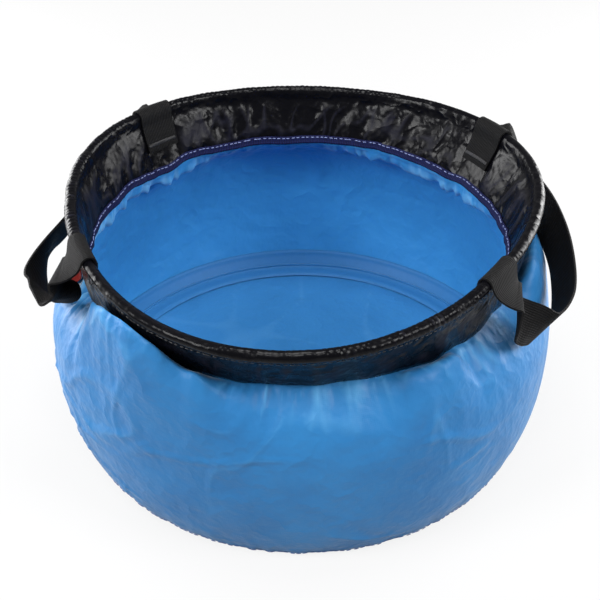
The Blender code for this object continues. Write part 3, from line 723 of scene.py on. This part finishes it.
def makeWall():
    heights = wallRows()
    tuckRows = wallCloth["tuckRows"]
    lengths = [0.0]
    for low, high in zip(heights, heights[1:]):
        lengths.append(lengths[-1] + (wallPoint(0.0, high) - wallPoint(0.0, low)).length)
    for _ in range(tuckRows):
        lengths.append(lengths[-1] + wallCloth["tuck"] / tuckRows)

    def shape(angle, row):
        if row >= len(heights):
            drop = collarFrame(angle)[3] - wallCloth["tuck"] * (row - len(heights) + 1) / tuckRows
            return collarPoint(angle, drop, 0.5 * wallCloth["thickness"]), 0.0
        height = heights[row]
        lift, sharp = wallFold(angle, height)
        below = (ringLines["seamHeight"] - height) * wallCloth["slant"]
        return (wallPoint(angle, height) + wallRoll(angle, below)
                + (lift + 0.5 * wallCloth["thickness"]) * wallOut(angle, height)), sharp

    bm = newRing(wallCloth["columns"], lengths, shape)
    return finishPiece("wall", bm, [wallOutside, wallInsidePaintedLighter], "base", ["side_wall"],
                       wallCloth["thickness"])


wall = makeWall()
print("wall made")


# hem binding inside the collar, and the rows of stitching

hemTape = {"columns": 600, "rows": 6, "thickness": 0.0005, "height": 0.0052}
stitching = {   # count, share of each step that is thread, radius of the thread, place of the row
    "hem": {"count": 235, "fill": 0.74, "radius": 0.00032, "place": 0.0040},
    "casing": {"count": 290, "fill": 0.78, "radius": 0.00032, "place": 0.0012},
    "base": {"count": 250, "fill": 0.86, "radius": 0.00026, "place": 0.0026},
}


def hemStand(angle, drop):
    return innerStand(angle, drop)[0] + hemTape["thickness"] + 0.0001


def makeHemTape():
    rows = hemTape["rows"]
    lengths = [hemTape["height"] * row / (rows - 1) for row in range(rows)]

    def shape(angle, row):
        bottom = collarFrame(angle)[3] - collarCloth["hemGap"]
        drop = bottom - lengths[row]
        return collarPoint(angle, drop, -hemStand(angle, drop)), 0.0

    bm = newRing(hemTape["columns"], lengths, shape)
    bmesh.ops.reverse_faces(bm, faces=bm.faces)
    return finishPiece("hemBinding", bm, [navyBinding], "rim", ["collar_hem_tape"],
                       hemTape["thickness"])


hemBinding = makeHemTape()


def hemStitchAt(angle):
    drop = collarFrame(angle)[3] - collarCloth["hemGap"] - stitching["hem"]["place"]
    return collarPoint(angle, drop, -(hemStand(angle, drop) + 0.5 * stitching["hem"]["radius"]))


def casingStitchAt(angle):
    drop = collarCloth["casingDrop"] + stitching["casing"]["place"]
    return collarPoint(angle, drop, outerStand(angle, drop)[0] + 0.0002)


def baseStitchAt(angle):
    height = stitching["base"]["place"]
    lift = wallFold(angle, height)[0] + 0.5 * wallCloth["thickness"]
    return wallPoint(angle, height) + (lift + 0.0002) * wallOut(angle, height)


hemStitches = stitchRow("hemStitches", stitching["hem"], hemStitchAt, paleThread, "rim",
                        ["hem_stitching"])
casingStitches = stitchRow("casingStitches", stitching["casing"], casingStitchAt, blackThread, "rim",
                           ["casing_stitching"])
baseStitches = stitchRow("baseStitches", stitching["base"], baseStitchAt, blueThread, "base",
                         ["base_stitching"])
print("hem and stitching made")


# base: a round of the same nylon, its edge turned up into the seam, with welded tape over it

baseCloth = {"columns": 180, "rows": 40, "thickness": 0.0008, "edgeRows": 5, "turnUp": 0.0042,
             "corner": 0.0022, "cornerShare": 0.6, "inset": 0.0014, "swell": 0.0007,
             "tapeOnBase": 0.0120, "tapeHeight": 0.0130, "tapeThickness": 0.0004}


def baseSwell(angle, radius):
    spot = radius * radial(angle)
    broad = noise.noise(Vector((spot.x / 0.045, spot.y / 0.045, 2.0)))
    pleat = crest(ringNoise(angle, 0.0, 0.016, 1.0, 101), 2.2) * blendStep(radius, 0.080, 0.130)
    crease = crest(noise.noise(Vector((spot.x / 0.05 + 3.0, spot.y / 0.05, 5.0))), 9.0)
    return baseCloth["swell"] * (max(0.0, broad) + 0.5 * pleat + 0.5 * crease), 0.5 * crease


def makeBase():
    edgeRows = baseCloth["edgeRows"]
    flatRows = baseCloth["rows"]
    flatRadius = wallRadius(0.0) - baseCloth["inset"] - baseCloth["corner"]
    lengths = [flatRadius * row / flatRows for row in range(flatRows + 1)]
    lengths += [flatRadius + baseCloth["turnUp"] * (row + 1) / edgeRows for row in range(edgeRows)]

    def shape(angle, row):
        if row <= flatRows:
            radius = lengths[row]
            swell, sharp = baseSwell(angle, radius)
            fade = 1.0 - blendStep(radius, flatRadius - 0.010, flatRadius)
            return radius * radial(angle) + (baseCloth["thickness"] + swell * fade) * up, sharp
        t = (row - flatRows) / edgeRows
        past = t - baseCloth["cornerShare"]
        turn = 0.5 * math.pi * min(1.0, t / baseCloth["cornerShare"])
        height = baseCloth["thickness"] + baseCloth["corner"] * (1.0 - math.cos(turn))
        reach = baseCloth["corner"] * math.sin(turn)
        if past > 0.0:
            height += ((baseCloth["turnUp"] - baseCloth["corner"]) * past
                       / (1.0 - baseCloth["cornerShare"]))
        return (flatRadius + reach) * radial(angle) + height * up, 0.0

    bm = newRing(baseCloth["columns"], lengths, shape)
    bmesh.ops.remove_doubles(bm, verts=bm.verts, dist=0.00001)
    for face in bm.faces:
        if face.normal.z < -0.1:
            face.normal_flip()
    return finishPiece("baseCloth", bm, [baseNylonPaintedLighter], "base", ["base_panel"],
                       baseCloth["thickness"])


base = makeBase()


def makeBaseTape():
    stand = 0.5 * wallCloth["thickness"] + 0.0004
    edge = wallRadius(0.004) - baseCloth["inset"] - 0.0014
    profile = [(edge - baseCloth["tapeOnBase"], 0.0021), (edge - 0.0060, 0.0020), (edge - 0.0025, 0.0022),
               (edge - 0.0006, 0.0034), (edge + 0.0002, 0.0052)]
    wallHeights = [0.0078, 0.0104, baseCloth["tapeHeight"]]
    lengths = [0.0022 * row for row in range(len(profile) + len(wallHeights))]

    def shape(angle, row):
        if row < len(profile):
            return profile[row][0] * radial(angle) + profile[row][1] * up, 0.0
        height = wallHeights[row - len(profile)]
        return wallPoint(angle, height) - stand * wallOut(angle, height), 0.0

    bm = newRing(240, lengths, shape)
    bmesh.ops.reverse_faces(bm, faces=bm.faces)
    finishPiece("baseSeamTape", bm, [seamFilm], "base", ["base_seam_tape"],
                baseCloth["tapeThickness"])


makeBaseTape()

wallTapeShape = {"angle": math.radians(-75), "width": 0.016, "bottom": 0.020, "top": 0.102,
                 "thickness": 0.0003}


def makeWallTape():
    low, high = wallTapeShape["bottom"], wallTapeShape["top"]
    bm = newStrip(high - low, wallTapeShape["width"], 60, 12)
    for vert in bm.verts:
        height = low + (high - low) * vert.co.x
        angle = wallTapeShape["angle"] + vert.co.y * wallTapeShape["width"] / wallRadius(height)
        inward = 0.5 * wallCloth["thickness"] + 0.0001 - wallFold(angle, height)[0]
        vert.co = wallPoint(angle, height) - inward * wallOut(angle, height)
    bmesh.ops.recalc_face_normals(bm, faces=bm.faces)
    for face in bm.faces:
        if face.normal.dot(radial(wallTapeShape["angle"])) > 0.0:
            face.normal_flip()
    return finishPiece("wallSeamTape", bm, [seamFilm], "base", ["wall_seam_tape"],
                       wallTapeShape["thickness"], 1.0)


wallTape = makeWallTape()
print("base and tapes made")


# handles: one length of webbing each, sewn inside the collar at both ends

strapShape = {
    "width": 0.025, "thickness": 0.0013, "standOff": 0.0005, "patchLength": 0.024,
    "alongSteps": 260, "acrossSteps": 10, "blendHalf": 0.004, "tailReach": 0.0155, "tailDrop": 0.0070,
    "leaveAngle": math.radians(30), "tailEndAngle": math.radians(-10), "hang": math.radians(40),
    "columns": 5,
    "anchors": {"right": ringLines["strapAngles"][:2], "left": ringLines["strapAngles"][2:]},
    # share of the line between the anchors, reach, drop and roll of the webbing, front to back
    "stations": {
        "right": [(0.000, 0.000, 0.000, 90), (0.003, 0.004, 0.006, 84), (0.010, 0.008, 0.010, 72),
                  (0.025, 0.014, 0.013, 52), (0.050, 0.023, 0.013, 30), (0.100, 0.034, 0.013, 6),
                  (0.230, 0.042, 0.006, 15), (0.420, 0.037, 0.000, 20), (0.600, 0.028, 0.000, 20),
                  (0.860, 0.023, 0.008, 40), (1.000, 0.000, 0.000, 90)],
        "left": [(0.000, 0.000, 0.000, 90), (0.000, 0.004, 0.006, 82), (-0.005, 0.008, 0.011, 68),
                 (0.005, 0.013, 0.014, 50), (0.030, 0.019, 0.013, 30), (0.070, 0.026, 0.010, 10),
                 (0.130, 0.033, 0.006, -14), (0.340, 0.036, 0.003, -60), (0.500, 0.034, 0.006, -60),
                 (0.680, 0.033, 0.005, -70), (0.870, 0.022, 0.005, -90), (1.000, 0.000, 0.000, -90)],
    },
}


def strapFrame(side):
    front, back = [hoopPoint(angle) + strapShape["tailReach"] * radial(angle)
                   - strapShape["tailDrop"] * up for angle in strapShape["anchors"][side]]
    level = Vector((back.x - front.x, back.y - front.y, 0.0)).normalized()
    outward = Vector((level.y, -level.x, 0.0))
    if outward.dot(front + back) < 0.0:
        outward.negate()
    along = (back - front).normalized()
    hang = math.cos(strapShape["hang"]) * outward - math.sin(strapShape["hang"]) * up
    hang = (hang - along * hang.dot(along)).normalized()
    face = hang.cross(along)
    if face.z < 0.0:
        face.negate()
    return front, back, along, hang, face, outward


def strapOffset(column):
    return strapShape["width"] * (column / (strapShape["columns"] - 1) - 0.5)


def anchorRows(side, end):
    # rows from the sewn patch inside the collar, over the hoop, to the hinge line
    angle = strapShape["anchors"][side][end]
    front, back, along, _, _, outward = strapFrame(side)
    hinge = (front, back)[end]
    sign = 1.0 if around(angle).dot(along) > 0.0 else -1.0
    tailEnd = (math.cos(strapShape["tailEndAngle"]) * outward
               + math.sin(strapShape["tailEndAngle"]) * up)
    tailEnd = (tailEnd - along * tailEnd.dot(along)).normalized()
    half = 0.5 * strapShape["thickness"]
    wrapRadius = collarCloth["casingRadius"] + strapShape["standOff"] + half
    columns = []
    for column in range(strapShape["columns"]):
        offset = strapOffset(column)
        here = angle + offset / hoopPoint(angle).xy.length
        top, down, out = collarFrame(here)[:3]
        line = []
        for share in (1.0, 0.85, 0.70, 0.55, 0.40, 0.25, 0.10):
            drop = strapShape["patchLength"] * share
            line.append(collarPoint(here, drop, -(innerSmooth(drop) + strapShape["standOff"] + half)))
        for i in range(9):
            turn = math.pi + (strapShape["leaveAngle"] - math.pi) * i / 8
            line.append(top + wrapRadius * (math.cos(turn) * out - math.sin(turn) * down))
        leave = math.sin(strapShape["leaveAngle"]) * out + math.cos(strapShape["leaveAngle"]) * down
        start = line[-1]
        stop = hinge + sign * offset * along
        pull = 0.35 * (stop - start).length
        for i in range(1, 6):
            t = i / 5
            bends = (start + leave * pull, stop - tailEnd * pull)
            line.append((1 - t) ** 3 * start + 3 * (1 - t) ** 2 * t * bends[0]
                        + 3 * (1 - t) * t ** 2 * bends[1] + t ** 3 * stop)
        columns.append(line)
    rows = [list(row) for row in zip(*columns)]
    if sign < 0.0:
        rows = [row[::-1] for row in rows]
    return rows


def smoothAt(points, place):
    # point on the smooth curve through a list of points, at a place counted in points
    index = min(len(points) - 2, max(0, int(place)))
    t = place - index
    b, c = points[index], points[index + 1]
    a = points[index - 1] if index > 0 else 2 * b - c
    d = points[index + 2] if index + 2 < len(points) else 2 * c - b
    return 0.5 * (2 * b + (c - a) * t + (2 * a - 5 * b + 4 * c - d) * t * t
                  + (3 * b - a - 3 * c + d) * t ** 3)


def loopRows(side):
    front, back, along, hang, face, _ = strapFrame(side)
    span = (back - front).length
    stations = [Vector((share * span, reach, drop, roll))
                for share, reach, drop, roll in strapShape["stations"][side]]
    places = [smoothAt(stations, i / 3) for i in range(3 * len(stations) - 2)]
    line = [front + p.x * along + p.y * hang - p.z * face for p in places]
    rows = []
    for i in range(1, len(line) - 1):
        run = (line[i + 1] - line[i - 1]).normalized()
        upright = (face - run * face.dot(run)).normalized()
        level = run.cross(upright)
        turn = -math.radians(places[i].w)
        width = math.cos(turn) * upright + math.sin(turn) * level
        rows.append([line[i] + strapOffset(column) * width
                     for column in range(strapShape["columns"])])
    return rows


def matched(rows, after):
    # the same rows with their columns in the order of the row that comes before them
    straight = (rows[-1][0] - after[0][0]).length
    crossed = (rows[-1][-1] - after[0][0]).length
    return after if straight <= crossed else [row[::-1] for row in after]


def makeStrap(side):
    rows = anchorRows(side, 0)
    rows += matched(rows, loopRows(side))
    rows += matched(rows, anchorRows(side, 1)[::-1])
    lengths = [0.0]
    middle = strapShape["columns"] // 2
    for before, here in zip(rows, rows[1:]):
        lengths.append(lengths[-1] + (here[middle] - before[middle]).length)
    total = lengths[-1]
    bm = newStrip(total, strapShape["width"], strapShape["alongSteps"], strapShape["acrossSteps"])
    for vert in bm.verts:
        wanted = vert.co.x * total
        index = 0
        while index < len(lengths) - 2 and lengths[index + 1] < wanted:
            index += 1
        place = index + (wanted - lengths[index]) / (lengths[index + 1] - lengths[index])
        column = (vert.co.y + 0.5) * (strapShape["columns"] - 1)
        columns = [smoothAt([row[c] for row in rows], place) for c in range(strapShape["columns"])]
        vert.co = smoothAt(columns, column)
    bmesh.ops.recalc_face_normals(bm, faces=bm.faces)
    name = "strap" + side.capitalize()
    strap = finishPiece(name, bm, [blackWebbing], None,
                        ["strap_anchor_front_" + side, "strap_anchor_back_" + side, "handle_" + side],
                        strapShape["thickness"], 0.0)
    roundEdges(strap, "Selvedge", 0.0004)
    front, back, _, _, _, outward = strapFrame(side)
    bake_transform(strap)
    print(name, "is", round(1000 * total), "mm long")


for side in ("right", "left"):
    makeStrap(side)


# bar tacks: close zigzag stitches across the strap's sewn end

barTack = {"length": 0.022, "height": 0.0024, "stitches": 26, "inset": 0.0032,
           "threadRadius": 0.00034}


def makeBarTack(side, end, where):
    angle = strapShape["anchors"][side][end]
    low = strapShape["patchLength"] - barTack["inset"]
    stand = innerSmooth(low) + strapShape["standOff"] + strapShape["thickness"] + 0.0002
    bm = bmesh.new()
    out = collarFrame(angle)[2]
    gaps = barTack["stitches"] - 1
    for index in range(barTack["stitches"]):
        across = barTack["length"] * (index / gaps - 0.5)
        ends = []
        for offset, drop in ((across, low),
                             (across + barTack["length"] / gaps * 0.5, low - barTack["height"])):
            here = angle + offset / hoopPoint(angle).xy.length
            ends.append(collarPoint(here, drop, -stand))
        run = ends[1] - ends[0]
        addStitch(bm, 0.5 * (ends[0] + ends[1]), run, run.cross(out).normalized(), out,
                  barTack["threadRadius"])
    name = "barTack" + where.title().replace("_", "")
    finishPiece(name, bm, [blackThread], "rim", ["anchor_bartack_" + where])


for side in ("right", "left"):
    for end, place in enumerate(("front", "back")):
        makeBarTack(side, end, place + "_" + side)
print("straps made")


# label: a small plain folded tab of red ribbon sewn in at the seam

labelShape = {"angle": math.radians(-168), "width": 0.012, "thickness": 0.0009, "tuck": 0.0070,
              "length": 0.026, "stations": [(0.0010, 0.0040), (0.0040, 0.0080), (0.0085, 0.0095)]}


def makeLabel():
    bm = newStrip(labelShape["length"], labelShape["width"], 30, 8)
    for vert in bm.verts:
        angle = labelShape["angle"] + vert.co.y * labelShape["width"] / ringLines["seamRadius"]
        height = collarFrame(angle)[3]
        points = [collarPoint(angle, height - labelShape["tuck"], collarCloth["half"] + 0.0016),
                  collarPoint(angle, height - 0.4 * labelShape["tuck"], collarCloth["half"] + 0.0018)]
        for drop, outBy in labelShape["stations"]:
            points.append(wallPoint(angle, ringLines["seamHeight"] - drop) + outBy * radial(angle))
        vert.co = smoothAt(points, vert.co.x * (len(points) - 1))
    bmesh.ops.recalc_face_normals(bm, faces=bm.faces)
    label = finishPiece("sideLabel", bm, [redLabelCloth], "rim", ["side_label"],
                        labelShape["thickness"], 0.0)
    roundEdges(label, "Fold", 0.0003)


makeLabel()
print("label made")


# solids that stay: the hoop and its spigot, inside the casing

for node, material in (("rim_hoop", hoopPlastic), ("hoop_spigot", spigotSteel)):
    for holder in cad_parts[node].material_slots:
        holder.material = material


# the wall and what is sewn on it: their modifiers applied, each with a mesh of its own

for piece in (wall, wallTape, baseStitches):
    for modifier in list(piece.modifiers):
        bpy.context.view_layer.objects.active = piece
        bpy.ops.object.modifier_apply(modifier=modifier.name)
    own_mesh(piece)
